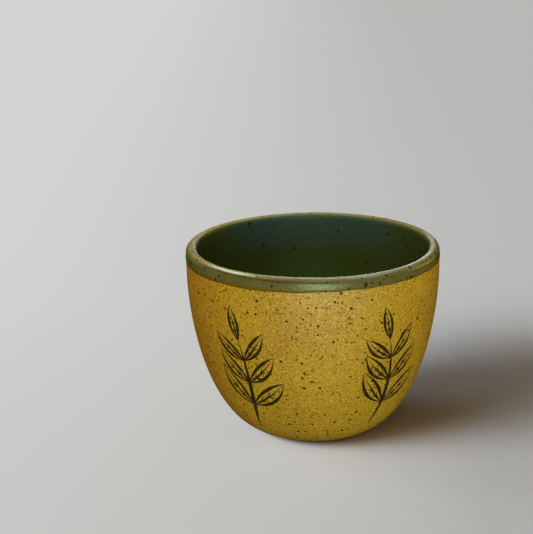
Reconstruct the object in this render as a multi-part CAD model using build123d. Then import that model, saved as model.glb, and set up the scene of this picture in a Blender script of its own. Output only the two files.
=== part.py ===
from build123d import *
import os
from math import atan2, cos, degrees, radians, sin

# A stoneware keeping bowl, thrown on the wheel, trimmed at the foot and glazed in two colours.
# Millimetres, +Z up. The origin is the middle of the foot, on the surface that the bowl stands on.

# Outer form, over the glaze
outside_diameter = 115.0  # across the upright upper wall, over the yellow coat
height = 87.5  # from the foot to the crest of the glazed lip
upright_below_band = 4.0  # wall that stays upright under the green band, before the belly starts
upper_fullness = 0.34  # how long the belly stays upright, as a share of its height
lower_fullness = 0.76  # how long the belly stays low, as a share of its overhang
belly_slope = 15.7  # degrees, the rise of the belly where it leaves the foot

# Foot, trimmed in the leather-hard clay
foot_diameter = 48.4  # outside of the ring that stands on the table
foot_ring_width = 4.6
foot_recess = 1.6  # depth of the hollow inside the ring
recess_slant = 1.2  # how far the hollow's wall leans in
bare_clay_run = 1.4  # how far the bare clay spreads from the ring to the glaze line
glaze_line_height = 1.55  # where the yellow glaze stops short of the table

# Clay wall and floor
wall_thickness = 4.2  # of the upright wall, without glaze
floor_thickness = 6.4  # over the hollow of the foot
floor_diameter = 36.0  # flat of the floor inside
inner_upper_fullness = 0.26
inner_lower_fullness = 0.80

# Glaze coats
yellow_coat = 0.35
green_coat = 0.55  # inside, over the lip and down the band
band_below_lip = 3.05  # how far the dipped lip is green below its round, inside and outside alike
band_edge_run = 0.8  # the height over which the band thins at its lower edge

# Leaf sprigs, brushed in dark slip over the yellow glaze
slip_coat = 0.15
sprig_count = 5
sprig_turn = 36.0  # degrees, from the front to the first sprig
sprig_base_height = 13.0
sprig_top_margin = 7.0  # bare yellow glaze between a sprig and the band
stem_bow = 3.0
stem_width = 2.2
leaf_pairs = 3
lowest_leaf_length = 22.0
leaf_length_step = 2.0  # each leaf is this much shorter than the one below
leaf_slenderness = 0.34  # width of a leaf, as a share of its length
leaf_lean = 44.0  # degrees, from the stem
leaf_line = 1.3  # brushed outline of a leaf
rib_line = 0.9  # and its midrib
leaf_tip = 2.8  # where the two outlines run together
top_leaf_seat = 0.94  # where the top leaf starts, as a share of the stem

clay_radius = outside_diameter / 2 - yellow_coat
inner_clay_radius = clay_radius - wall_thickness
lip_radius = wall_thickness / 2
lip_height = height - green_coat - lip_radius
band_edge = lip_height - band_below_lip
shoulder_height = band_edge - upright_below_band
floor_height = foot_recess + floor_thickness
foot_radius = foot_diameter / 2
glaze_line_radius = foot_radius + bare_clay_run
top_leaf_length = lowest_leaf_length - leaf_pairs * leaf_length_step
stem_length = band_edge - sprig_top_margin - sprig_base_height - top_leaf_length


def belly_line(coat):
    """Outer belly from the shoulder down to the glaze line, a coat's thickness off the clay."""
    slope = radians(belly_slope)
    drop = upper_fullness * (shoulder_height - glaze_line_height)
    reach = lower_fullness * (clay_radius - glaze_line_radius)
    shoulder = Vector(clay_radius + coat, shoulder_height)
    end = Vector(glaze_line_radius, glaze_line_height) + coat * Vector(sin(slope), -cos(slope))
    return Bezier(shoulder, shoulder - Vector(0, drop), end + reach * Vector(cos(slope), sin(slope)), end)


def hollow_line(coat):
    """Inside from the shoulder down to the flat of the floor, a coat's thickness off the clay."""
    drop = inner_upper_fullness * (shoulder_height - floor_height)
    reach = inner_lower_fullness * (inner_clay_radius - floor_diameter / 2)
    shoulder = Vector(inner_clay_radius - coat, shoulder_height)
    end = Vector(floor_diameter / 2, floor_height + coat)
    return Bezier(shoulder, shoulder - Vector(0, drop), end + Vector(reach - coat, 0), end)


def lip_line(coat):
    """Half-round lip from the outside over to the inside, a coat's thickness off the clay."""
    outside = (clay_radius + coat, lip_height)
    crest = (clay_radius - lip_radius, lip_height + lip_radius + coat)
    inside = (inner_clay_radius - coat, lip_height)
    return ThreePointArc(outside, crest, inside)


def turned(*lines):
    """Solid turned about the wheel's axis from the lines round its section."""
    edges = [edge for line in lines for edge in line.edges()]
    return revolve(Plane.XZ * make_face(edges), Axis.Z)


def outer_coat(under, over):
    """Skin on the outside of the bowl, from the band's edge down to the glaze line."""
    inner, outer = belly_line(under), belly_line(over)
    top = Polyline(inner @ 0, (clay_radius + under, band_edge), (clay_radius + over, band_edge), outer @ 0)
    return turned(inner, top, outer, Line(outer @ 1, inner @ 1))


def stoneware_body():
    """Bare clay: floor, wall, lip and the trimmed foot ring with its shallow hollow."""
    belly, lip, hollow = belly_line(0), lip_line(0), hollow_line(0)
    ring_radius = foot_radius - foot_ring_width
    foot = Polyline(
        belly @ 1,
        (foot_radius, 0),
        (ring_radius, 0),
        (ring_radius - recess_slant, foot_recess),
        (0, foot_recess),
        (0, floor_height),
        hollow @ 1,
    )
    return turned(belly, Line(belly @ 0, lip @ 0), lip, Line(lip @ 1, hollow @ 0), hollow, foot)


def rim_glaze():
    """Green coat of the dipped lip, thinning to the yellow coat at the band's lower edge."""
    clay, coat = lip_line(0), lip_line(green_coat)
    band = Polyline(
        clay @ 0,
        (clay_radius, band_edge),
        (clay_radius + yellow_coat, band_edge),
        (clay_radius + green_coat, band_edge + band_edge_run),
        coat @ 0,
    )
    inside = Polyline(
        clay @ 1,
        (inner_clay_radius, band_edge),
        (inner_clay_radius - green_coat, band_edge),
        coat @ 1,
    )
    return turned(clay, band, coat, inside)


def liner_glaze():
    """Green coat poured inside, from the dipped lip down over the floor."""
    clay, coat = hollow_line(0), hollow_line(green_coat)
    top = Polyline(
        clay @ 0,
        (inner_clay_radius, band_edge),
        (inner_clay_radius - green_coat, band_edge),
        coat @ 0,
    )
    floor = Polyline(clay @ 1, (0, floor_height), (0, floor_height + green_coat), coat @ 1)
    return turned(clay, top, coat, floor)


def lens(length, width):
    """Pointed oval between two arcs, standing on its lower tip."""
    right = ThreePointArc((0, 0), (width / 2, length / 2), (0, length))
    left = ThreePointArc((0, 0), (-width / 2, length / 2), (0, length))
    return make_face([right, left])


def leaf(length):
    """Outline and midrib of one leaf, standing on its lower tip."""
    width = leaf_slenderness * length
    inside = Pos(0, leaf_tip) * lens(length - 2 * leaf_tip, width - 2 * leaf_line)
    rib = Pos(0, length / 2) * Rectangle(rib_line, length)
    return lens(length, width) - (inside - rib)


def flat_sprig():
    """One sprig as it is brushed: a bowed stem, pairs of leaves and a top leaf, standing on its stem."""
    middle = ThreePointArc((0, 0), (stem_bow, stem_length / 2), (0, stem_length))
    sides = [
        ThreePointArc((0, 0), (stem_bow + side * stem_width / 2, stem_length / 2), (0, stem_length))
        for side in (-1, 1)
    ]
    sprig = make_face(sides)
    seats = [(top_leaf_seat, 0, top_leaf_length)]
    for pair in range(leaf_pairs):
        length = lowest_leaf_length - pair * leaf_length_step
        up_stem = (pair + 1) / (leaf_pairs + 1)
        seats += [(up_stem, leaf_lean, length), (up_stem, -leaf_lean, length)]
    for up_stem, lean, length in seats:
        along = middle % up_stem
        turn = degrees(atan2(along.Y, along.X)) - 90 + lean
        sprig += Pos(middle @ up_stem) * Rot(0, 0, turn) * leaf(length)
    return sprig


def leaf_sprigs():
    """Sprigs round the belly, each laid on the yellow glaze."""
    upright = Plane.XZ * Pos(0, sprig_base_height) * flat_sprig()
    skin = outer_coat(yellow_coat, yellow_coat + slip_coat)
    sprig = skin & extrude(upright, outside_diameter)
    step = 360 / sprig_count
    return Compound([Rot(0, 0, sprig_turn + index * step) * sprig.solid() for index in range(sprig_count)])


os.makedirs("parts", exist_ok=True)
export_step(stoneware_body(), "parts/stoneware_body.step")
export_step(outer_coat(0, yellow_coat), "parts/outer_glaze.step")
export_step(rim_glaze(), "parts/rim_glaze.step")
export_step(liner_glaze(), "parts/liner_glaze.step")
export_step(leaf_sprigs(), "parts/leaf_sprigs.step")
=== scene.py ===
"""Dresses the CAD frame of a hand-thrown stoneware bowl, and sets the stage that it is seen on.

The bowl is bare clay under three fired coats, with a ring of brushed leaf sprigs on its belly.
Every length in the scene is in metres, in the frame's own axes. Angles round the bowl start at its front,
on -Y.
"""

import math
from functools import partial

import bmesh
import bpy
import numpy as np
from bpy.props import FloatProperty, FloatVectorProperty, IntProperty, PointerProperty
from mathutils import Matrix, Vector, noise


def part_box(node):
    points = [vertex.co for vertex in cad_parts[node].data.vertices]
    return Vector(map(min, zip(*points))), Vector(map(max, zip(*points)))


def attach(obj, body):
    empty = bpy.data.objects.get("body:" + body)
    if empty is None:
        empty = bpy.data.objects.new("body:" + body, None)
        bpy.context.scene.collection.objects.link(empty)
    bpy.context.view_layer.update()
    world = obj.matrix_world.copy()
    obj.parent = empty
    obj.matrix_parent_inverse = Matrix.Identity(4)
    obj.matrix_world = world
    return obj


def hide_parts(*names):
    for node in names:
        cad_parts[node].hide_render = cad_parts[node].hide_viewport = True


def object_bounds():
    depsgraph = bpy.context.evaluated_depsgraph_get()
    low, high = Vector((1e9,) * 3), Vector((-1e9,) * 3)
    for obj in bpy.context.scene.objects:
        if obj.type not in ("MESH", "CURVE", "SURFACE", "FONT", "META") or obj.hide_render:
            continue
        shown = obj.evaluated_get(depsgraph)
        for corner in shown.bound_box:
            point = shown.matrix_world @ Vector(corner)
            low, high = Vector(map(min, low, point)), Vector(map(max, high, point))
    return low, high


bl_info = {
    "name": "Stoneware Bowl",
    "version": (1, 0, 0),
    "blender": (4, 5, 0),
    "location": "3D View > Sidebar > Bowl",
    "description": "Builds a glazed stoneware bowl on its CAD frame, with its stage",
    "category": "Object",
}

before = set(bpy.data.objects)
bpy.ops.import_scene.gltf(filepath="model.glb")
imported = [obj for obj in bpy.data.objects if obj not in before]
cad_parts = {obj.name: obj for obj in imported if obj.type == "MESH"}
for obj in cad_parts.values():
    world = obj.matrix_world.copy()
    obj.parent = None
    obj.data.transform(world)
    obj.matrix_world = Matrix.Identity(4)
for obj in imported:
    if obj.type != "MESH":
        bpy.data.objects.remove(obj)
CAD_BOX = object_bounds()
CLAY_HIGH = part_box("stoneware_body")[1]
YELLOW_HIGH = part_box("outer_glaze")[1]
RIM_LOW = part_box("rim_glaze")[0]
LINER_LOW, LINER_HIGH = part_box("liner_glaze")

MM = 0.001
FULL_TURN = 2 * math.pi


def linear(code):
    """Linear colour of an sRGB hex code."""
    parts = [int(code[start:start + 2], 16) / 255 for start in (1, 3, 5)]
    return tuple(part / 12.92 if part <= 0.04045 else ((part + 0.055) / 1.055) ** 2.4 for part in parts)


def length(description, default):
    """A length, given in millimetres."""
    return partial(FloatProperty, description=description, default=default * MM, unit="LENGTH", precision=5)


def share(description, default):
    """A plain ratio."""
    return partial(FloatProperty, description=description, default=default, subtype="FACTOR", min=0, max=1)


def angle(description, degrees):
    """An angle, given in degrees."""
    return partial(FloatProperty, description=description, default=math.radians(degrees), subtype="ANGLE")


def amount(description, default, unit):
    """An amount of a unit."""
    return partial(FloatProperty, description=description, default=default, unit=unit)


def number(description, default, least=1):
    """A count."""
    return partial(IntProperty, description=description, default=default, min=least)


def colour(description, code):
    """A colour, given as an sRGB hex code."""
    default = linear(code)
    return partial(FloatVectorProperty, description=description, default=default, subtype="COLOR", size=3)


def labelled(group):
    """Makes the properties of a group, each with a name that comes from its attribute's."""
    for attribute, made in group.__annotations__.items():
        group.__annotations__[attribute] = made(name=attribute.replace("_", " ").capitalize())
    return group


@labelled
class BowlForm(bpy.types.PropertyGroup):
    """Sizes of the clay and of its coats"""

    clay_radius: length("Outside of the upright clay wall", CLAY_HIGH.x / MM)
    inner_radius: length("Inside of the upright clay wall", LINER_HIGH.x / MM)
    clay_crest: length("Height of the clay lip", CLAY_HIGH.z / MM)
    band_edge: length("Height of the green band's lower edge", RIM_LOW.z / MM)
    floor_height: length("Height of the clay floor inside", LINER_LOW.z / MM)
    yellow_coat: length("Thickness of the yellow glaze", (YELLOW_HIGH.x - CLAY_HIGH.x) / MM)
    green_coat: length("Thickness of the green glaze inside", 0.45)
    upright_below_band: length("Wall that stays upright under the band", 4.0)
    upper_fullness: share("How long the belly stays upright", 0.34)
    lower_fullness: share("How long the belly stays low", 0.76)
    belly_slope: angle("Rise of the belly where it leaves the foot", 15.7)
    hollow_upper_fullness: share("How long the inside stays upright", 0.26)
    hollow_lower_fullness: share("How long the inside stays flat", 0.80)
    floor_radius: length("Flat of the floor inside", 18.0)
    glaze_line_radius: length("Where the yellow glaze stops over the foot", 25.6)
    glaze_line_height: length("Where the yellow glaze stops over the table", 1.55)
    foot_radius: length("Outside of the foot ring", 24.2)
    foot_ring_width: length("Flat of the foot ring", 4.6)
    foot_recess: length("Depth of the hollow inside the foot ring", 1.6)
    recess_slant: length("How far the hollow's wall leans in", 1.2)
    foot_round: length("Worn edge of the foot ring", 0.5)
    ring_spacing: length("Between the throwing rings", 6.5)
    ring_depth: length("Height of the throwing rings outside", 0.03)
    inner_ring_depth: length("Height of the throwing rings inside", 0.02)
    trim_spacing: length("Between the trimming marks on the foot", 1.7)
    trim_depth: length("Depth of the trimming marks on the foot", 0.06)
    waver: length("How far the thrown wall strays from round", 0.06)
    waver_size: length("Width of one such stray", 24.0)


@labelled
class RimForm(bpy.types.PropertyGroup):
    """Sizes of the dipped lip, with drops measured along the lip from its crest"""

    shoulder_coat: length("Green glaze on the lip's inner shoulder", 0.62)
    shoulder_drop: length("Where the inner shoulder is fullest", 1.6)
    crest_coat: length("Green glaze just outside the crest", 0.45)
    crest_drop: length("Where the glaze starts to thin towards the crease", 0.4)
    crease_coat: length("Green glaze in the crease below", 0.13)
    crease_drop: length("Where the crease is deepest, at the front", 2.5)
    crease_tilt: length("How much lower the crease runs on the right", 0.55)
    crease_width: length("Half the height of the crease", 0.55)
    crease_left: angle("Where the crease fades on the left", -54.0)
    crease_right: angle("Where the crease fades on the right", 16.0)
    crease_fade: angle("Over how far round the crease fades", 9.0)
    lip_sag: length("How far the glazed lip sags where it is lowest", 0.36)
    lip_turn: angle("From the front to where the lip is lowest", 42.0)
    tan_inside: length("How far down the lip is tan inside", 1.4)
    tan_outside: length("How far down the lip is tan outside", 1.6)
    tan_behind: length("How much further it is tan inside at the back", 0.8)
    roll_coat: length("Glaze roll that ends the band", 0.54)
    roll_drop: length("Where the roll is fullest", 6.0)
    edge_round: length("Over what height the band's edge rounds off", 0.9)
    edge_fade: length("Over what height the band's edge browns", 0.7)
    sag_fade: length("How much more that is where the glaze ran", 1.6)
    edge_sag: length("How far the edge sags where the glaze ran", 0.7)
    sag_turn: angle("From the front to where the glaze ran", -45.0)
    edge_waver: length("How far the edge strays", 0.35)
    edge_waver_size: length("Width of one such stray", 7.0)
    overlap: length("How far the band laps over the yellow glaze", 1.2)
    thin_reach: length("How far down inside the lip's thinner glaze reaches", 2.6)


@labelled
class SprigForm(bpy.types.PropertyGroup):
    """Sizes of the brushed leaf sprigs"""

    count: number("Sprigs round the bowl", 5)
    turn: angle("From the front to the first sprig", 36.0)
    base: length("Height of the foot of a stem", 13.0)
    stem_length: length("Stem without its top leaf", 45.8)
    stem_bow: length("How far a stem bows sideways", 3.0)
    stem_width: length("Widest brush mark of a stem", 2.1)
    pairs: number("Pairs of leaves on a stem", 3)
    leaf_length: length("Longest leaf", 22.0)
    leaf_step: length("How much shorter each next leaf is", 2.0)
    leaf_slenderness: share("Width of a leaf over its length", 0.34)
    leaf_lean: angle("Between a leaf and its stem", 44.0)
    leaf_bend: share("How far a leaf curls, over its length", 0.05)
    outline_width: length("Widest brush mark of a leaf's edge", 1.55)
    rib_width: length("Widest brush mark of a midrib", 1.05)
    vein_width: length("Widest brush mark of a vein", 0.6)
    veins: number("Veins on each side of a leaf", 2, 0)
    slip_coat: length("How far a brush mark stands over the glaze", 0.09)
    tremble: share("How much the width of a brush mark varies", 0.22)


@labelled
class Finishes(bpy.types.PropertyGroup):
    """Colours of the clay and of its coats"""

    mustard: colour("Body of the yellow glaze", "#b08e10")
    mustard_deep: colour("Where the yellow glaze lies thick", "#a57c0a")
    sand: colour("Pale grains in the yellow glaze", "#caab30")
    umber: colour("Brown grains in the yellow glaze", "#744f08")
    rust: colour("Small iron specks", "#664402")
    iron: colour("Iron specks that bleed through the glaze", "#351f01")
    pool_green: colour("Green glaze on the wall inside", "#2b320e")
    moss_green: colour("Green glaze lower inside", "#34400d")
    # Painted reflection: a bluish sheen painted under the lip inside, at the back, not a colour of the glaze
    float_green: colour("Milky bloom under the lip inside", "#2b3b31")
    olive: colour("Green glaze on the band", "#61632f")
    olive_brown: colour("Iron stains on the band", "#5f572a")
    lip_tan: colour("Green glaze where it breaks over the crest", "#7a6b3e")
    crease_brown: colour("Green glaze that pools in the crease", "#463a10")
    edge_brown: colour("Green glaze where it thins out over the yellow", "#6b540c")
    pit_green: colour("Green glaze in the pits of its skin", "#1b1e05")
    green_iron: colour("Iron specks under the green glaze", "#1d1702")
    gloss_green: colour("Tint of the green glaze's shine", "#f2ffd4")
    clay: colour("Bare fired clay", "#b3977a")
    clay_toast: colour("Bare clay that the flame has flashed", "#96704c")
    slip: colour("Brushed dark slip", "#2a2307")
    slip_thin: colour("Brushed slip where the brush ran dry", "#4a3d14")
    paper: colour("The pale floor on the left", "#dbdddd")
    # Painted shade: the floor's colour where a painted falloff of light darkens it, to the right and at the
    # front
    paper_dim: colour("The pale floor on the right", "#b2b4b2")


# Lines of the section, as rows of radius and height

CURVE_STEPS = 400


def bezier(*poles):
    """Points on a cubic curve, from its four poles."""
    part = np.linspace(0, 1, CURVE_STEPS)[:, None]
    weights = [(1 - part) ** 3, 3 * (1 - part) ** 2 * part, 3 * (1 - part) * part ** 2, part ** 3]
    return sum(weight * np.array(pole) for weight, pole in zip(weights, poles))


def along(line):
    """Distance of each point of a line from its start."""
    return np.append(0, np.cumsum(np.hypot(*np.diff(line, axis=0).T)))


def spaced(line, count):
    """The same line with evenly spaced points."""
    run = along(line)
    even = np.linspace(0, run[-1], count)
    return np.stack([np.interp(even, run, line[:, axis]) for axis in (0, 1)], 1)


def shoulder_height(form):
    """Height at which the upright wall starts to curve in."""
    return form.band_edge - form.upright_below_band


def belly_line(form, coat, top, count):
    """Outside of the bowl from a height on the upright wall down to the glaze line."""
    shoulder = shoulder_height(form)
    rise = np.array([math.cos(form.belly_slope), math.sin(form.belly_slope)])
    drop = form.upper_fullness * (shoulder - form.glaze_line_height)
    reach = form.lower_fullness * (form.clay_radius - form.glaze_line_radius)
    radius = form.clay_radius + coat
    end = np.array([form.glaze_line_radius, form.glaze_line_height]) + coat * np.array([rise[1], -rise[0]])
    belly = bezier((radius, shoulder), (radius, shoulder - drop), end + reach * rise, end)
    return spaced(np.vstack([[radius, top], belly]), count)


def hollow_line(form, coat, top, count):
    """Inside of the bowl from a height on the upright wall down to the middle of the floor."""
    shoulder = shoulder_height(form)
    drop = form.hollow_upper_fullness * (shoulder - form.floor_height)
    reach = form.hollow_lower_fullness * (form.inner_radius - form.floor_radius) - coat
    radius = form.inner_radius - coat
    end = (form.floor_radius, form.floor_height + coat)
    hollow = bezier((radius, shoulder), (radius, shoulder - drop), (end[0] + reach, end[1]), end)
    return spaced(np.vstack([[radius, top], hollow, [0, end[1]]]), count)


def lip_radius(form):
    """Radius of the clay lip's round."""
    return (form.clay_radius - form.inner_radius) / 2


def lip_height(form):
    """Height of the middle of the clay lip's round."""
    return form.clay_crest - lip_radius(form)


def lip_line(form, count):
    """Round of the clay lip from the inside over to the outside, without its two ends."""
    turn = np.linspace(0, math.pi, count + 2)[1:-1]
    arc = np.stack([1 - np.cos(turn), np.sin(turn)], 1)
    return arc * lip_radius(form) + (form.inner_radius, lip_height(form))


def outward(line):
    """Unit normals of a line, on its left as it runs."""
    steps = np.gradient(line, axis=0)
    normals = np.stack([-steps[:, 1], steps[:, 0]], 1)
    return normals / np.linalg.norm(normals, axis=1, keepdims=True)


# Meshes turned on the wheel

TURNS = 512
CLAY_TURNS = 256
PATCH_SIZE = 36 * MM  # of the patches in which the throwing rings fade
PATCH_SHIFT = 7.3  # keeps the patches apart from the waver
PATCH_DEPTH = 0.5  # of the rings on average, over their full depth
BAKE_MAP = "OFBake"
BAKE_SHARE = 0.92  # of the bake's map, for the rows that show
WELD_GAP = 1e-8
SHARP_CORNER = math.radians(50)


def wheel_angles(count):
    """Angles round the bowl."""
    return np.arange(count) * FULL_TURN / count


def placed(theta, radius, height):
    """Points in the frame, from angles, radii and heights."""
    theta, radius, height = np.broadcast_arrays(theta, radius, height)
    return np.stack([radius * np.sin(theta), -radius * np.cos(theta), height], -1)


def clouds(points, size, shift=0.0):
    """Smooth noise at points, with lumps of a size."""
    flat = points.reshape(-1, 3) / size + shift
    return np.array([noise.noise(point) for point in flat.tolist()]).reshape(points.shape[:-1])


def eased(value, start, end):
    """Smooth step from 0 at start to 1 at end."""
    part = np.clip((value - start) / (end - start), 0, 1)
    return part * part * (3 - 2 * part)


def ripple(form, theta, height, depth):
    """Throwing rings that climb like a screw, fading in and out, with the slow waver of a thrown wall."""
    points = placed(theta, form.clay_radius, height)
    climb = np.sin(FULL_TURN * height / form.ring_spacing + theta)
    fade = PATCH_DEPTH + clouds(points, PATCH_SIZE, PATCH_SHIFT)
    return depth * climb * fade + form.waver * clouds(points, form.waver_size)


def swollen(section, line, swell):
    """A section for each angle, whose first rows are a line that swells outward."""
    sections = np.repeat(section[None], TURNS, 0)
    sections[:, :len(line)] += swell[..., None] * outward(line)
    return sections


def turned_solid(name, sections, poles, shown, layers):
    """Closed mesh from one section for each angle. With poles, a section runs from the axis back to the axis.

    The bake's map gives most of its room to the first rows, which are the ones that show. Each layer holds a
    value for each row, or for each angle and row.
    """
    turns, rows = sections.shape[:2]
    points = placed(wheel_angles(turns)[:, None], sections[..., 0], sections[..., 1]).reshape(-1, 3)
    start, end = np.arange(turns), np.arange(turns) + 1
    here, there = start * rows, end % turns * rows
    left, right = start / turns, end / turns
    run = along(np.vstack([sections[0], sections[0][:1]]))
    limit = run[shown - 1]
    hidden = BAKE_SHARE + (1 - BAKE_SHARE) * (run - limit) / (run[-1] - limit)
    reach = np.where(run <= limit, BAKE_SHARE * run / limit, hidden)
    faces, corners = [], []
    for row in range(rows - 1 if poles else rows):
        below = (row + 1) % rows
        faces.append(np.stack([here + row, here + below, there + below, there + row], 1))
        low, high = np.full(turns, reach[row]), np.full(turns, reach[row + 1])
        corners.append(np.stack([left, low, left, high, right, high, right, low], 1))
    mesh = bpy.data.meshes.new(name)
    mesh.from_pydata(points.tolist(), [], np.concatenate(faces).tolist())
    spots = np.concatenate(corners).ravel().astype(np.float32)
    mesh.uv_layers.new(name=BAKE_MAP).data.foreach_set("uv", spots)
    for layer, values in layers.items():
        spread = np.broadcast_to(values, (turns, rows)).ravel().astype(np.float32)
        mesh.attributes.new(layer, "FLOAT", "POINT").data.foreach_set("value", spread)
    work = bmesh.new()
    work.from_mesh(mesh)
    bmesh.ops.remove_doubles(work, verts=work.verts, dist=WELD_GAP)
    work.to_mesh(mesh)
    work.free()
    return mesh


def piece(name, mesh, node, material):
    """Object that stands for a CAD node, smooth but for its sharp corners, with its material."""
    mesh.shade_smooth()
    mesh.set_sharp_from_angle(angle=SHARP_CORNER)
    mesh.materials.append(material)
    made = bpy.data.objects.new(name, mesh)
    bpy.context.scene.collection.objects.link(made)
    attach(made, "root")
    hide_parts(node)
    return made


# Materials

FACTOR, VALUE_A, VALUE_B, COLOUR_A, COLOUR_B = 0, 2, 3, 6, 7
COLOURS = {"output": 2, "data_type": "RGBA"}
EASED = {"interpolation_type": "SMOOTHSTEP"}


def add_node(tree, kind, inputs, output=0, **settings):
    """Adds a node with its settings and links, and gives one of its outputs.

    An input is a plain value, or an output of another node.
    """
    node = tree.nodes.new("ShaderNode" + kind)
    for name, value in settings.items():
        setattr(node, name, value)
    for name, value in inputs.items():
        socket = node.inputs[name]
        if isinstance(value, bpy.types.NodeSocket):
            tree.links.new(value, socket)
        else:
            socket.default_value = (*value, 1.0) if socket.type == "RGBA" else value
    return node.outputs[output]


def blank(name):
    """Material without a shader, what adds nodes to it, and the place on its piece."""
    material = bpy.data.materials.new(name)
    material.use_nodes = True
    material.node_tree.nodes.clear()
    add = partial(add_node, material.node_tree)
    return material, add, add("TexCoord", {}, "Object")


def shaded(material, inputs):
    """The same material, with a shader that has these inputs."""
    tree = material.node_tree
    shader = add_node(tree, "BsdfPrincipled", inputs)
    tree.links.new(shader, tree.nodes.new("ShaderNodeOutputMaterial").inputs["Surface"])
    return material


DENT_SIZE, DENT_DEPTH = 0.9 * MM, 0.8 * MM  # of the dents that make a speck ragged
SMALLEST_SPECK, LARGEST_SPECK = 0.45, 1.25  # over the size that is asked for
SPECK_EDGE, SPECK_FULL = 1.25, 0.65  # where a speck starts to show and where it is full, over its radius


def iron_specks(add, place, spacing, radius):
    """Output that falls from 1 amid a speck to 0 off it: one speck to a cube, of uneven size and shape."""
    ragged = add("TexNoise", {"Vector": place, "Scale": 1 / DENT_SIZE, "Detail": 1.0}, "Color")
    bent = add("VectorMath", {0: ragged, 1: (DENT_DEPTH,) * 3, 2: place}, operation="MULTIPLY_ADD")
    gap = add("TexVoronoi", {"Vector": bent, "Scale": 1 / spacing})
    chance = add("SeparateColor", {"Color": gap.node.outputs["Color"]})
    size = add("MapRange", {"Value": chance, "To Min": SMALLEST_SPECK, "To Max": LARGEST_SPECK}, **EASED)
    gap = add("Math", {0: gap, 1: size}, operation="DIVIDE")
    edge, full = SPECK_EDGE * radius / spacing, SPECK_FULL * radius / spacing
    return add("MapRange", {"Value": gap, "From Min": edge, "From Max": full}, **EASED)


def yellow_glaze(finish):
    """Matte mustard glaze on speckled stoneware, sprayed and fired in reduction.

    It gives a dry, sandy yellow with brown and pale grains, iron specks that bleed through from the clay,
    and a slight satin sheen but no clear reflection.
    """
    material, add, place = blank("mustard_matte_glaze")
    drift = add("TexNoise", {"Vector": place, "Scale": 1 / (26 * MM)})
    crowd = add("TexNoise", {"Vector": place, "Scale": 1 / (11 * MM)})
    # Real grains are 0.1 to 0.3 mm: they are drawn coarser, so that they show
    grain = add("TexNoise", {"Vector": place, "Scale": 1 / (0.8 * MM), "Roughness": 0.7})
    grit = add("TexNoise", {"Vector": place, "Scale": 1 / (0.6 * MM), "Roughness": 0.7})
    thick = add("MapRange", {"Value": drift, "From Min": 0.2, "From Max": 0.8}, **EASED)
    pale = add("MapRange", {"Value": grain, "From Min": 0.47, "From Max": 0.66, "To Max": 0.95}, **EASED)
    brown = add("MapRange", {"Value": grit, "From Min": 0.53, "From Max": 0.68, "To Max": 0.84}, **EASED)
    crowd = add("MapRange", {"Value": crowd, "From Min": 0.38, "From Max": 0.62, "To Min": 0.65}, **EASED)
    dust = iron_specks(add, place, 1.6 * MM, 0.34 * MM)
    dust = add("Math", {0: dust, 1: crowd}, operation="MULTIPLY")
    small = iron_specks(add, place, 2.15 * MM, 0.43 * MM)
    small = add("Math", {0: small, 1: crowd}, operation="MULTIPLY")
    large = iron_specks(add, place, 3.3 * MM, 0.56 * MM)
    body = finish.mustard_deep
    for factor, hue in (
        (thick, finish.mustard),
        (pale, finish.sand),
        (brown, finish.umber),
        (dust, finish.rust),
        (small, finish.rust),
        (large, finish.iron),
    ):
        body = add("Mix", {FACTOR: factor, COLOUR_A: body, COLOUR_B: hue}, **COLOURS)
    dry = add("Math", {0: large, 1: small}, operation="MAXIMUM")
    dry = add("Math", {0: dry, 1: dust}, operation="MAXIMUM")
    tooth = add("Math", {0: grain, 1: dry}, operation="SUBTRACT")
    return shaded(material, {
        "Base Color": body,
        "Normal": add("Bump", {"Height": tooth, "Distance": 0.05 * MM}),
        "Roughness": add("MapRange", {"Value": dry, "From Max": 0.6, "To Min": 0.54}, **EASED),
        "IOR": 1.5,
        "Specular IOR Level": add("MapRange", {"Value": dry, "To Min": 0.6, "To Max": 0.05}, **EASED),
    })


GREEN_LAYERS = ("thin", "bare", "crease", "edge", "dry")

# Where the glaze inside changes up the wall, and where a bluish sheen is painted into it, high under the lip
# and behind the axis
POOL_RISE = {"From Min": 50 * MM, "From Max": 68 * MM}
SHEEN_RISE = {"From Min": 66 * MM, "From Max": 82 * MM}
SHEEN_BEHIND = {"From Min": 22 * MM, "From Max": 52 * MM}


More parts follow.
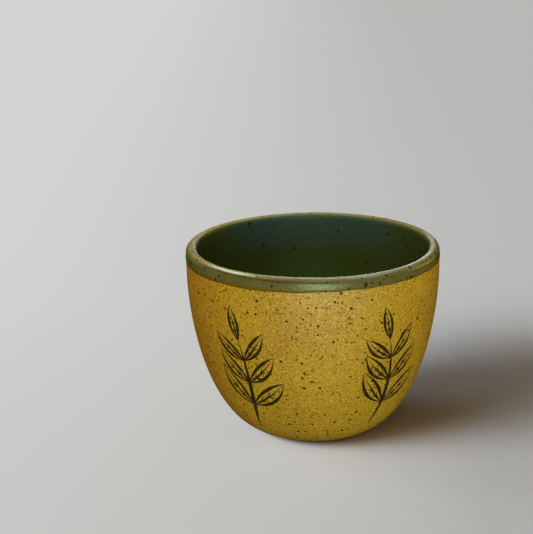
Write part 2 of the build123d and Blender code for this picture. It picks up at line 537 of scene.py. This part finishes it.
def green_glaze(finish):
    """Green ash glaze, poured inside and dipped over the lip.

    Thick, it is a deep bottle green with a soft shine, and a bluish sheen is painted into its colour under
    the lip at the back. Thin, on the band, it turns a glossy olive that shows the clay's specks. It breaks
    tan over the crest, pools brown in the crease below, and browns again where it thins out over the yellow.
    """
    material, add, place = blank("green_ash_glaze")
    thin, bare, crease, edge, dry = (
        add("Attribute", {}, "Fac", attribute_name=name) for name in GREEN_LAYERS
    )
    height = add("SeparateXYZ", {"Vector": place}, "Z")
    far_side = add("MapRange", {"Value": height.node.outputs["Y"], **SHEEN_BEHIND}, **EASED)
    cloud = add("TexNoise", {"Vector": place, "Scale": 1 / (40 * MM)})
    drift = add("TexNoise", {"Vector": place, "Scale": 1 / (14 * MM), "Detail": 3.0})
    # Real flecks are 0.2 to 0.5 mm: they are drawn coarser, so that they show
    fleck = add("TexNoise", {"Vector": place, "Scale": 1 / (1.1 * MM), "Detail": 3.0, "Roughness": 0.65})
    flecked = add("MapRange", {"Value": fleck, "From Min": 0.3, "From Max": 0.6, "To Min": 0.45}, **EASED)
    high = add("MapRange", {"Value": height, **POOL_RISE}, **EASED)
    under_lip = add("MapRange", {"Value": height, **SHEEN_RISE}, **EASED)
    cloud = add("MapRange", {"Value": cloud, "From Min": 0.35, "From Max": 0.6, "To Min": 0.5}, **EASED)
    # Painted sheen: a bluish reflection painted in patches high under the lip, behind the axis
    painted_sheen = add("Math", {0: under_lip, 1: cloud}, operation="MULTIPLY")
    painted_sheen = add("Math", {0: painted_sheen, 1: far_side}, operation="MULTIPLY")
    stain = add("Mix", {FACTOR: 0.3, VALUE_A: drift, VALUE_B: fleck})
    stain = add("MapRange", {"Value": stain, "From Min": 0.42, "From Max": 0.58}, **EASED)
    broken = add("Math", {0: bare, 1: flecked}, operation="MULTIPLY")
    pooled = add("Math", {0: crease, 1: flecked}, operation="MULTIPLY")
    lost = add("Math", {0: edge, 1: fleck}, operation="ADD")
    lost = add("MapRange", {"Value": lost, "From Min": 0.7, "From Max": 1.2, "To Max": 0.95}, **EASED)
    large = iron_specks(add, place, 3.3 * MM, 0.62 * MM)
    small = iron_specks(add, place, 2.3 * MM, 0.4 * MM)
    crowded = add("Math", {0: large, 1: small}, operation="MAXIMUM")
    sparse = iron_specks(add, place, 7.5 * MM, 0.75 * MM)
    specks = add("Mix", {FACTOR: thin, VALUE_A: sparse, VALUE_B: crowded})
    pitted = add("MapRange", {"Value": fleck, "From Min": 0.45, "From Max": 0.7, "To Max": 0.5}, **EASED)
    band = add("Mix", {FACTOR: stain, COLOUR_A: finish.olive, COLOUR_B: finish.olive_brown}, **COLOURS)
    body = finish.moss_green
    for factor, hue in (
        (high, finish.pool_green),
        (painted_sheen, finish.float_green),
        (pitted, finish.pit_green),
        (thin, band),
        (broken, finish.lip_tan),
        (pooled, finish.crease_brown),
        (lost, finish.edge_brown),
        (specks, finish.green_iron),
    ):
        body = add("Mix", {FACTOR: factor, COLOUR_A: body, COLOUR_B: hue}, **COLOURS)
    dull = add("MapRange", {"Value": fleck, "From Min": 0.35, "From Max": 0.65, "To Max": 0.1}, **EASED)
    smooth = add("MapRange", {"Value": bare, "From Max": 0.3, "To Min": 1.0, "To Max": 0.0}, **EASED)
    dull = add("Math", {0: dull, 1: smooth}, operation="MULTIPLY")
    gloss = add("MapRange", {"Value": thin, "To Min": 0.4, "To Max": 0.22}, **EASED)
    gloss = add("Math", {0: dry, 1: 0.3, 2: gloss}, operation="MULTIPLY_ADD")
    shine = add("MapRange", {"Value": thin, "To Min": 0.1, "To Max": 0.42}, **EASED)
    # The shine is weaker on the bare crest, on the dry lip behind and in the crease
    for layer, gain in ((bare, -0.05), (dry, -0.45)):
        shine = add("Math", {0: layer, 1: gain, 2: shine}, operation="MULTIPLY_ADD")
    pits = add("Math", {0: fleck, 1: smooth}, operation="MULTIPLY")
    return shaded(material, {
        "Base Color": body,
        "Normal": add("Bump", {"Height": pits, "Distance": 0.12 * MM}),
        "Roughness": add("Math", {0: gloss, 1: dull}, operation="ADD"),
        "IOR": 1.52,
        "Specular IOR Level": add("Math", {0: crease, 1: -0.4, 2: shine}, operation="MULTIPLY_ADD"),
        "Specular Tint": finish.gloss_green,
    })


def bare_clay(finish):
    """Bare speckled stoneware, thrown, trimmed and fired.

    It gives a dry, toasted buff with dark iron specks and a sandy tooth.
    """
    material, add, place = blank("bare_speckled_stoneware")
    flame = add("TexNoise", {"Vector": place, "Scale": 1 / (14 * MM), "Detail": 3.0})
    # Real sand is 0.1 to 0.3 mm: it is drawn coarser, so that it shows
    sandy = add("TexNoise", {"Vector": place, "Scale": 1 / (0.6 * MM), "Detail": 3.0})
    flashed = add("MapRange", {"Value": flame, "From Min": 0.38, "From Max": 0.66}, **EASED)
    grains = add("MapRange", {"Value": sandy, "From Min": 0.52, "From Max": 0.75, "To Max": 0.5}, **EASED)
    specks = iron_specks(add, place, 2.8 * MM, 0.45 * MM)
    body = finish.clay
    for factor, hue in ((flashed, finish.clay_toast), (grains, finish.clay_toast), (specks, finish.iron)):
        body = add("Mix", {FACTOR: factor, COLOUR_A: body, COLOUR_B: hue}, **COLOURS)
    return shaded(material, {
        "Base Color": body,
        "Normal": add("Bump", {"Height": sandy, "Distance": 0.08 * MM}),
        "Roughness": 0.88,
        "Specular IOR Level": 0.3,
    })


def brushed_slip(finish):
    """Dark iron slip, brushed on the glaze and fired.

    It gives a near-black olive, thinner and browner where the brush ran dry, with a dull satin skin.
    """
    material, add, place = blank("brushed_iron_slip")
    dry = add("TexNoise", {"Vector": place, "Scale": 1 / (1.4 * MM), "Detail": 4.0, "Roughness": 0.7})
    worn = add("MapRange", {"Value": dry, "From Min": 0.48, "From Max": 0.72}, **EASED)
    body = add("Mix", {FACTOR: worn, COLOUR_A: finish.slip, COLOUR_B: finish.slip_thin}, **COLOURS)
    return shaded(material, {
        "Base Color": body,
        "Roughness": add("MapRange", {"Value": worn, "To Min": 0.6, "To Max": 0.75}, **EASED),
        "Specular IOR Level": 0.12,
    })


# Where painted shade darkens the floor, along the frame's axes
SHADE_RIGHT = {"From Min": -0.3, "From Max": 0.2}
SHADE_AHEAD = {"From Min": 0.25, "From Max": -0.15}
SHADE_CORNER = {"From Min": 0.0, "From Max": 0.15}


def pale_paper(finish):
    """Seamless background paper, pressed matte.

    It gives a pale floor with a faint unevenness, and painted shade that darkens it to the right and to the
    front, as if the light fell off there.
    """
    material, add, place = blank("seamless_pale_paper")
    side = add("SeparateXYZ", {"Vector": place})
    # Painted shade: the floor darkens to the right, to the front and towards the right-hand corner, as
    # falling-off light would make it
    right = add("MapRange", {"Value": side, **SHADE_RIGHT, "To Max": 0.73}, **EASED)
    ahead = add("MapRange", {"Value": side.node.outputs["Y"], **SHADE_AHEAD, "To Max": 0.6}, **EASED)
    corner = add("MapRange", {"Value": side, **SHADE_CORNER, "To Min": 0.33}, **EASED)
    painted_falloff = add("Math", {0: ahead, 1: corner, 2: right}, operation="MULTIPLY_ADD")
    fibre = add("TexNoise", {"Vector": place, "Scale": 1 / (250 * MM)})
    tone = add("Math", {0: fibre, 1: 0.04, 2: painted_falloff}, operation="MULTIPLY_ADD")
    body = add("Mix", {FACTOR: tone, COLOUR_A: finish.paper, COLOUR_B: finish.paper_dim}, **COLOURS)
    return shaded(material, {"Base Color": body, "Roughness": 0.95, "Specular IOR Level": 0.1})


# Pieces of the bowl

CLAY_LIP_ROWS, CLAY_WALL_ROWS, CORNER_ROWS, RECESS_ROWS = 22, 60, 6, 80
OUTSIDE_ROWS, INSIDE_ROWS, BACKING_ROWS, BEAD_ROWS = 146, 154, 40, 8
RIM_INSIDE_ROWS, RIM_LIP_ROWS, BAND_ROWS = 14, 54, 30
LIP_BACKING_STEP = 3  # one row of the lip's hidden side for so many of its face
FOOT_OVERHANG = 0.6  # how far a worn edge stands out of the foot ring, over its round
TRIM_MIDDLE, TRIM_EDGE = 3 * MM, 2 * MM  # over how far the trimming marks fade at their ends
RING_FADE, INNER_RING_FADE = 6 * MM, 8 * MM  # over how far the throwing rings fade at their ends


class BOWL_OT_clay_body(bpy.types.Operator):
    """Bare clay: it shows at the trimmed foot, and backs the coats everywhere else"""

    bl_idname = "bowl.clay_body"
    bl_label = "Clay body"

    def execute(self, context):
        form = context.scene.bowl_form
        belly = belly_line(form, 0, lip_height(form), CLAY_WALL_ROWS)
        hollow = hollow_line(form, 0, lip_height(form), CLAY_WALL_ROWS)[::-1]
        ring_inner = form.foot_radius - form.foot_ring_width
        recess_radius = ring_inner - form.recess_slant
        worn = form.foot_round
        overhang = FOOT_OVERHANG * worn
        corner = np.linspace(0, math.pi / 2, CORNER_ROWS)
        outer_edge = np.stack([np.cos(corner), 1 - np.sin(corner)], 1) * worn
        outer_edge += (form.foot_radius + overhang - worn, 0)
        inner_edge = np.stack([-np.sin(corner), 1 - np.cos(corner)], 1) * worn
        inner_edge += (ring_inner + overhang, 0)
        chamfer = np.linspace(belly[-1], outer_edge[0], CORNER_ROWS)[1:-1]
        wall = np.linspace(inner_edge[-1], (recess_radius, form.foot_recess), CORNER_ROWS)[1:]
        recess = np.linspace((recess_radius, form.foot_recess), (0, form.foot_recess), RECESS_ROWS)[1:]
        foot = np.vstack([chamfer, outer_edge, inner_edge, wall, recess])
        section = np.vstack([hollow, lip_line(form, CLAY_LIP_ROWS), belly, foot])
        theta = wheel_angles(CLAY_TURNS)[:, None]
        marks = np.sin(FULL_TURN * section[None, :, 0] / form.trim_spacing + theta)
        fade = eased(recess[:, 0], 0, TRIM_MIDDLE)
        trimmed = np.zeros(len(section))
        trimmed[-len(recess):] = fade * eased(recess_radius - recess[:, 0], 0, TRIM_EDGE)
        sections = np.repeat(section[None], CLAY_TURNS, 0)
        sections[..., 1] += form.trim_depth * marks * trimmed
        mesh = turned_solid("clay_body", sections, True, len(section), {})
        piece("clay_body", mesh, "stoneware_body", bare_clay(context.scene.bowl_finishes))
        return {"FINISHED"}


class BOWL_OT_outer_glaze(bpy.types.Operator):
    """Yellow coat of the outside, from under the green band down to the glaze line over the foot"""

    bl_idname = "bowl.outer_glaze"
    bl_label = "Outer glaze"

    def execute(self, context):
        form = context.scene.bowl_form
        lap = context.scene.bowl_rim.overlap
        top = form.band_edge + lap
        outside = belly_line(form, form.yellow_coat, top, OUTSIDE_ROWS)
        clay = belly_line(form, 0.0, top, BACKING_ROWS)
        middle, across = (outside[-1] + clay[-1]) / 2, (outside[-1] - clay[-1]) / 2
        ahead = np.array([across[1], -across[0]])
        turn = np.linspace(0, math.pi, BEAD_ROWS)[1:-1, None]
        bead = middle + across * np.cos(turn) + ahead * np.sin(turn)
        section = np.vstack([outside, bead, clay[::-1]])
        theta = wheel_angles(TURNS)[:, None]
        run = along(outside)
        fade = eased(np.minimum(run - lap, run[-1] - run), 0, RING_FADE)
        swell = fade * ripple(form, theta, outside[None, :, 1], form.ring_depth)
        sections = swollen(section, outside, swell)
        mesh = turned_solid("outer_glaze", sections, False, len(outside) + len(bead), {})
        glaze = yellow_glaze(context.scene.bowl_finishes)
        piece("outer_glaze_coat", mesh, "outer_glaze", glaze)
        return {"FINISHED"}


class BOWL_OT_liner_glaze(bpy.types.Operator):
    """Green coat poured inside, with throwing rings that fade out towards the middle of the floor"""

    bl_idname = "bowl.liner_glaze"
    bl_label = "Liner glaze"

    def execute(self, context):
        form = context.scene.bowl_form
        inside = hollow_line(form, form.green_coat, form.band_edge, INSIDE_ROWS)[::-1]
        clay = hollow_line(form, 0.0, form.band_edge, BACKING_ROWS)
        section = np.vstack([inside, clay])
        theta = wheel_angles(TURNS)[:, None]
        run = along(inside)
        fade = eased(np.minimum(run, run[-1] - run), 0, INNER_RING_FADE)
        swell = fade * ripple(form, theta, run[None], form.inner_ring_depth)
        sections = swollen(section, inside, swell)
        layers = dict.fromkeys(GREEN_LAYERS, np.zeros(len(section)))
        mesh = turned_solid("liner_glaze", sections, True, len(inside), layers)
        glaze = green_glaze(context.scene.bowl_finishes)
        piece("liner_glaze_coat", mesh, "liner_glaze", glaze)
        return {"FINISHED"}


# Stretches of the rim, as cosines of the angle from their middle: where each starts, and where it is full
LIP_SAG = (0.6, 1)
EDGE_SAG = (0.5, 1)
BACK = (-0.05, 0.45)
SAG_DROP = (4 * MM, 1 * MM)  # how far from the crest the lip's sag ends, and where it is full
CREASE_REST, CREASE_STAIN = 0.4, 0.15  # how deep and how brown the crease stays where it has faded
TAN_FULL = 0.5 * MM  # how far down outside the tan is at its strongest
TAN_STRENGTH = 0.8
EDGE_START = 0.55  # how far down the band its lower edge starts to stray
TUCK = 0.05 * MM  # how far the lap's hidden side lies under the yellow skin


def crease_clear(rim, theta):
    """How clear the crease is at each angle: 1 along the front, 0 where it has faded."""
    side = np.where(theta > math.pi, theta - FULL_TURN, theta)
    clear = eased(side, rim.crease_left - rim.crease_fade, rim.crease_left + rim.crease_fade)
    return clear * eased(side, rim.crease_right + rim.crease_fade, rim.crease_right - rim.crease_fade)


def lip_coat(form, rim, down, crease_drop, clear):
    """Thickness of the green glaze down the lip: shoulder, crest, crease and roll."""
    depth = CREASE_REST + (1 - CREASE_REST) * clear
    stops = (
        (-rim.thin_reach, form.green_coat),
        (-rim.shoulder_drop, rim.shoulder_coat),
        (rim.crest_drop, rim.crest_coat),
        (crease_drop, rim.crest_coat + (rim.crease_coat - rim.crest_coat) * depth),
        (rim.roll_drop, rim.roll_coat),
    )
    coat = form.green_coat
    for (start, before), (end, after) in zip(stops, stops[1:]):
        coat = coat + (after - before) * eased(down, start, end)
    return coat


class BOWL_OT_rim_glaze(bpy.types.Operator):
    """Green coat of the dipped lip, with a glaze roll that ends in the band's uneven edge"""

    bl_idname = "bowl.rim_glaze"
    bl_label = "Rim glaze"

    def execute(self, context):
        form, rim = context.scene.bowl_form, context.scene.bowl_rim
        inner, outer, low, high = form.inner_radius, form.clay_radius, form.band_edge, lip_height(form)
        lip = lip_line(form, RIM_LIP_ROWS)
        clay = np.vstack([
            np.linspace((inner, low), (inner, high), RIM_INSIDE_ROWS),
            lip,
            np.linspace((outer, high), (outer, low), BAND_ROWS),
        ])
        theta = wheel_angles(TURNS)[:, None]
        run = along(clay)
        left = run[-1] - run
        down = run - (high - low) - lip_radius(form) * math.pi / 2
        crease_drop = rim.crease_drop + rim.crease_tilt * np.sin(theta)
        clear = crease_clear(rim, theta)
        coat = lip_coat(form, rim, down, crease_drop, clear)
        rounded = np.sqrt(1 - (1 - np.clip(left / rim.edge_round, 0, 1)) ** 2)
        coat = np.where(down > 0, form.yellow_coat + (coat - form.yellow_coat) * rounded, coat)
        outside = clay + coat[..., None] * outward(clay)
        lip_sag = rim.lip_sag * eased(np.cos(theta - rim.lip_turn), *LIP_SAG)
        outside[..., 1] -= lip_sag * eased(np.abs(down), *SAG_DROP)
        stray = rim.edge_waver * clouds(placed(theta, outer, low), rim.edge_waver_size)
        sag = eased(np.cos(theta - rim.sag_turn), *EDGE_SAG)
        outside[..., 1] += (stray - rim.edge_sag * sag) * eased(down, EDGE_START * down[-1], down[-1])
        lap = low + rim.overlap
        skin = (outer + form.yellow_coat - TUCK, lap)
        under = np.vstack([skin, (outer, lap), lip[::-LIP_BACKING_STEP], clay[0]])
        sections = np.concatenate([outside, np.repeat(under[None], TURNS, 0)], 1)
        behind = eased(-np.cos(theta), *BACK)
        thin = eased(down, -rim.thin_reach, 0)
        tan = eased(down, -rim.tan_inside - rim.tan_behind * behind, 0)
        brown = CREASE_STAIN + (1 - CREASE_STAIN) * clear
        shown = {
            "thin": thin,
            "bare": TAN_STRENGTH * tan * eased(down, rim.tan_outside, TAN_FULL),
            "crease": brown * np.exp(-((down - crease_drop) / rim.crease_width) ** 2),
            "dry": thin * behind,
            "edge": eased(left / (rim.edge_fade + rim.sag_fade * sag), 1, 0),
        }
        layers = {}
        for layer, values in shown.items():
            layers[layer] = np.zeros(sections.shape[:2])
            layers[layer][:, :len(run)] = values
        mesh = turned_solid("rim_glaze", sections, False, len(run), layers)
        piece("rim_glaze_coat", mesh, "rim_glaze", bpy.data.materials["green_ash_glaze"])
        return {"FINISHED"}


# Brush marks, drawn flat as rows of distance across and up a sprig, then laid on the wall

STEM_STEPS = 60
LEAF_STEPS = 28
VEIN_STEPS = 10
VEIN_START, VEIN_SPREAD = 0.24, 0.42  # where along a midrib its veins start
VEIN_SLANT = LEAF_STEPS // 6  # how many steps further along the leaf a vein ends
VEIN_REACH = 0.62  # how far towards the leaf's edge a vein runs
TREMBLE_SIZE = 1.5 * MM
RIB_GAP = 3  # steps by which a midrib stops short of the tip
TOP_SEAT = -4  # step of the stem that the top leaf stands on
WALL_STEPS = 300
RING = np.linspace(0, FULL_TURN, 8, endpoint=False)  # angles round a stroke

# Where along a stroke the brush is pressed hardest
STEM_PRESS = 0.35
EDGE_PRESSES = (0.6, 0.4)
RIB_PRESS = 0.25
VEIN_PRESS = 0.3
BLUNT_START, BLUNT_END = 0.5, 0.12  # how blunt a stroke starts, as a share of that, and how blunt it ends


def brush_mark(points, widest, press):
    """Centre points of a stroke and its half widths, which are widest where the brush is pressed."""
    part = np.linspace(0, 1, len(points))
    start = eased(part, -BLUNT_START * press, press)
    end = eased(1 - part, -BLUNT_END, 1 - press)
    return points, widest / 2 * np.where(part < press, start, end)


def curve_through(start, bow, end, steps):
    """Points on the curve from start to end that passes bow to the left of its chord's middle."""
    start, end = np.array(start), np.array(end)
    side = np.array([start[1] - end[1], end[0] - start[0]])
    handle = (start + end) / 2 + 2 * bow * side / np.linalg.norm(side)
    part = np.linspace(0, 1, steps)[:, None]
    return (1 - part) ** 2 * start + 2 * (1 - part) * part * handle + part ** 2 * end


def leaf_marks(form, base, way, side, reach):
    """Strokes of one leaf: two edges, the midrib and its veins."""
    tip = base + reach * way
    bend = side * form.leaf_bend * reach
    half = form.leaf_slenderness * reach / 2 - form.outline_width / 2
    rib, *edges = (curve_through(base, bow, tip, LEAF_STEPS) for bow in (bend, bend + half, bend - half))
    marks = [brush_mark(edge, form.outline_width, press) for edge, press in zip(edges, EDGE_PRESSES)]
    marks.append(brush_mark(rib[:-RIB_GAP], form.rib_width, RIB_PRESS))
    for vein in range(form.veins):
        start = int(LEAF_STEPS * (VEIN_START + VEIN_SPREAD * vein / form.veins))
        stop = start + VEIN_SLANT
        for edge in edges:
            end = rib[stop] + VEIN_REACH * (edge[stop] - rib[stop])
            line = curve_through(rib[start], 0, end, VEIN_STEPS)
            marks.append(brush_mark(line, form.vein_width, VEIN_PRESS))
    return marks


def sprig_marks(form):
    """All strokes of one sprig, its stem standing on the origin."""
    stem = curve_through((0, 0), -form.stem_bow, (0, form.stem_length), STEM_STEPS)
    ways = np.gradient(stem, axis=0)
    ways /= np.linalg.norm(ways, axis=1, keepdims=True)
    marks = [brush_mark(stem, form.stem_width, STEM_PRESS)]
    for pair in range(form.pairs):
        seat = round((STEM_STEPS - 1) * (pair + 1) / (form.pairs + 1))
        reach = form.leaf_length - pair * form.leaf_step
        for side in (-1, 1):
            lean = Matrix.Rotation(side * form.leaf_lean, 2)
            marks += leaf_marks(form, stem[seat], np.array(lean @ Vector(ways[seat])), side, reach)
    top_reach = form.leaf_length - form.pairs * form.leaf_step
    return marks + leaf_marks(form, stem[TOP_SEAT], ways[TOP_SEAT], 0, top_reach)


def ridge_points(form, bowl, wall, theta, centre, half):
    """Points of a stroke as a low rounded ridge on the wall, a ring of them for each of its centre points."""
    shaky = placed(theta, bowl.clay_radius, centre[:, 1]) + np.append(centre, 0 * centre[:, :1], 1)
    half = half * (1 + form.tremble * clouds(shaky, TREMBLE_SIZE))
    steps = np.gradient(centre, axis=0)
    aside = np.stack([steps[:, 1], -steps[:, 0]], 1) / np.linalg.norm(steps, axis=1, keepdims=True)
    flat = centre[:, None] + half[:, None, None] * np.cos(RING)[:, None] * aside[:, None]
    height = form.base + flat[..., 1]
    radius, out, rise = (np.interp(height, wall[1], wall[row]) for row in (0, 2, 3))
    turn = theta + np.arcsin(flat[..., 0] / radius)
    lift = form.slip_coat * np.sin(RING) + ripple(bowl, turn, height, bowl.ring_depth)
    return placed(turn, radius + lift * out, height + lift * rise).reshape(-1, 3)


def ridge_faces(first, last):
    """Faces of a closed ridge, from the numbers of its first point and of the next ridge's."""
    sides = np.arange(len(RING))
    rows = np.arange(first, last - len(RING), len(RING))[:, None]
    near, far = rows + sides, rows + (sides + 1) % len(RING)
    faces = np.stack([near, far, far + len(RING), near + len(RING)], -1).reshape(-1, 4).tolist()
    return [*faces, (first + sides[::-1]).tolist(), list(range(last - len(RING), last))]


class BOWL_OT_leaf_sprigs(bpy.types.Operator):
    """Leaf sprigs in dark slip, each stroke a low rounded ridge laid on the yellow glaze"""

    bl_idname = "bowl.leaf_sprigs"
    bl_label = "Leaf sprigs"

    def execute(self, context):
        form, bowl = context.scene.bowl_sprigs, context.scene.bowl_form
        line = belly_line(bowl, bowl.yellow_coat, bowl.band_edge, WALL_STEPS)
        wall = np.hstack([line, outward(line)])[::-1].T
        points, faces = [], []
        first = 0
        for theta in form.turn + wheel_angles(form.count):
            for centre, half in sprig_marks(form):
                points.append(ridge_points(form, bowl, wall, theta, centre, half))
                last = first + len(points[-1])
                faces += ridge_faces(first, last)
                first = last
        mesh = bpy.data.meshes.new("leaf_sprigs")
        mesh.from_pydata(np.concatenate(points).tolist(), [], faces)
        piece("leaf_sprig_marks", mesh, "leaf_sprigs", brushed_slip(context.scene.bowl_finishes))
        return {"FINISHED"}


# Stage

@labelled
class StageForm(bpy.types.PropertyGroup):
    """Camera, floor and sky"""

    camera_back: length("Camera in front of the bowl's axis", 654.71)
    camera_height: length("Camera over the floor", 269.52)
    camera_yaw: angle("Turn of the camera to its left", 1.840)
    camera_pitch: angle("Tilt of the camera below the horizon", 16.456)
    camera_roll: angle("Roll of the camera to its right", 0.997)
    camera_lens: amount("Focal length, mm on a 36 mm frame", 100.80, "CAMERA")
    floor_size: length("Side of the floor", 16000.0)
    sky: amount("Strength of the even light all round", 0.11, "NONE")


DAYLIGHT = linear("#f2f8ff")
LAMPLIGHT = linear("#ffca4c")
SKYLIGHT = linear("#ffd6a8")
MIDDLE = (0, 0, 0.05)
CREST = (0, 0, CAD_BOX[1].z)
BELLY = ("outer_glaze_coat", "leaf_sprig_marks")
RIM = ("rim_glaze_coat",)
GREEN = (*RIM, "liner_glaze_coat")

# Name, turn from the front towards the left, rise over the horizon and width as seen from the bowl, all in
# degrees, watts on a square metre, and colour
FAR_LIGHTS = (
    *(("window_pane", turn, 28.0, 24.0, 4.85 / 3, DAYLIGHT) for turn in (49.0, 61.0, 73.0)),
    ("pale_wall", 108.0, 14.0, 40.0, 1.45, DAYLIGHT),
    ("low_lamp", 30.0, 26.0, 40.0, 0.7, SKYLIGHT),
)

# Name, place, the point that it faces, width, height, power in watts, the pieces that it lights, and colour
SOFT_BOXES = (
    ("front_softbox", (0.15, -1.0, 0.16), MIDDLE, 0.9, 0.3, 10.0, BELLY, DAYLIGHT),
    ("rim_softbox", (0.12, -1.25, 0.38), MIDDLE, 0.75, 0.75, 16.0, GREEN, DAYLIGHT),
    ("rear_softbox", (-0.3, 1.2, 0.45), MIDDLE, 0.75, 0.75, 9.0, (*BELLY, "clay_body"), DAYLIGHT),
    ("upper_softbox", (0.1, -0.6, 1.1), MIDDLE, 0.8, 0.8, 3.15, BELLY, DAYLIGHT),
    ("left_softbox", (-1.1, 0.15, 0.25), MIDDLE, 0.5, 0.5, 3.9, BELLY, LAMPLIGHT),
    ("right_softbox", (1.0, 0.45, 0.25), MIDDLE, 0.5, 0.5, 2.4, (*BELLY, *RIM), LAMPLIGHT),
    ("top_softbox", (0, 0.1, 1.3), CREST, 2.0, 2.0, 8.0, GREEN, DAYLIGHT),
    ("back_softbox", (0.06, 0.5, 0.13), CREST, 0.14, 0.05, 0.13, RIM, DAYLIGHT),
    ("high_softbox", (0.03, 0.45, 0.3), CREST, 0.2, 0.13, 0.16, GREEN, DAYLIGHT),
    ("mouth_softbox", (-0.1, 0.03, 0.2), CREST, 0.14, 0.06, 0.28, GREEN, DAYLIGHT),
    ("lip_softbox", (0.02, 0.04, 0.21), CREST, 0.12, 0.06, 0.09, GREEN, DAYLIGHT),
)


def light(name, kind, strength, hue, lit):
    """Light of a kind that falls on the named objects alone, as if it were flagged off the others."""
    lamp = bpy.data.lights.new(name, kind)
    lamp.energy = strength
    lamp.color = hue
    made = bpy.data.objects.new(name, lamp)
    bpy.context.scene.collection.objects.link(made)
    group = bpy.data.collections.new(made.name + "_lights")
    for target in lit:
        group.objects.link(bpy.data.objects[target])
    made.light_linking.receiver_collection = group
    return made


def soft_box(name, place, target, width, height, strength, lit, hue):
    """Upright soft box that faces a point."""
    made = light(name, "AREA", strength, hue, lit)
    made.data.shape = "RECTANGLE"
    made.data.size, made.data.size_y = width, height
    made.location = place
    made.rotation_euler = (Vector(target) - Vector(place)).to_track_quat("-Z", "Y").to_euler()


def far_light(name, turn, rise, width, strength, hue):
    """Broad light from far off, on the floor alone."""
    made = light(name, "SUN", strength, hue, ["floor"])
    made.data.angle = math.radians(width)
    made.rotation_euler = (math.radians(90 - rise), 0, math.radians(-turn))


class BOWL_OT_stage(bpy.types.Operator):
    """Pale floor, soft studio light and a camera at the photograph's angle"""

    bl_idname = "bowl.stage"
    bl_label = "Stage"

    def execute(self, context):
        scene = context.scene
        stage = scene.bowl_stage
        half = stage.floor_size / 2
        corners = [(-half, -half, 0), (half, -half, 0), (half, half, 0), (-half, half, 0)]
        mesh = bpy.data.meshes.new("floor")
        mesh.from_pydata(corners, [], [(0, 1, 2, 3)])
        mesh.materials.append(pale_paper(scene.bowl_finishes))
        floor = bpy.data.objects.new("floor", mesh)
        scene.collection.objects.link(floor)
        floor.visible_diffuse = floor.visible_glossy = False
        for settings in FAR_LIGHTS:
            far_light(*settings)
        for settings in SOFT_BOXES:
            soft_box(*settings)
        world = bpy.data.worlds.new("even_sky")
        world.use_nodes = True
        background = world.node_tree.nodes["Background"]
        background.inputs["Color"].default_value = (*SKYLIGHT, 1.0)
        background.inputs["Strength"].default_value = stage.sky
        world.cycles_visibility.glossy = False
        scene.world = world
        scene.view_settings.view_transform = "Standard"
        lens = bpy.data.cameras.new("camera")
        lens.lens = stage.camera_lens
        lens.clip_start = 10 * MM
        camera = bpy.data.objects.new("camera", lens)
        camera.location = (0, -stage.camera_back, stage.camera_height)
        yaw = Matrix.Rotation(stage.camera_yaw, 3, "Z")
        pitch = Matrix.Rotation(math.pi / 2 - stage.camera_pitch, 3, "X")
        roll = Matrix.Rotation(-stage.camera_roll, 3, "Z")
        camera.rotation_euler = (yaw @ pitch @ roll).to_euler()
        scene.collection.objects.link(camera)
        scene.camera = camera
        return {"FINISHED"}


class BOWL_PT_sidebar(bpy.types.Panel):
    """Lists the bowl's pieces"""

    bl_label = "Stoneware Bowl"
    bl_idname = "BOWL_PT_sidebar"
    bl_space_type = "VIEW_3D"
    bl_region_type = "UI"
    bl_category = "Bowl"

    def draw(self, context):
        for operator in OPERATORS:
            self.layout.operator(operator.bl_idname)


GROUPS = {
    "bowl_form": BowlForm,
    "bowl_rim": RimForm,
    "bowl_sprigs": SprigForm,
    "bowl_finishes": Finishes,
    "bowl_stage": StageForm,
}
OPERATORS = (
    BOWL_OT_clay_body,
    BOWL_OT_outer_glaze,
    BOWL_OT_liner_glaze,
    BOWL_OT_rim_glaze,
    BOWL_OT_leaf_sprigs,
    BOWL_OT_stage,
)
CLASSES = (*GROUPS.values(), *OPERATORS, BOWL_PT_sidebar)


def register():
    for made in CLASSES:
        bpy.utils.register_class(made)
    for name, group in GROUPS.items():
        setattr(bpy.types.Scene, name, PointerProperty(type=group))


def unregister():
    for name in GROUPS:
        delattr(bpy.types.Scene, name)
    for made in reversed(CLASSES):
        bpy.utils.unregister_class(made)


def main():
    register()
    for operator in OPERATORS:
        group, name = operator.bl_idname.split(".")
        getattr(getattr(bpy.ops, group), name)()


if __name__ == "__main__":
    main()
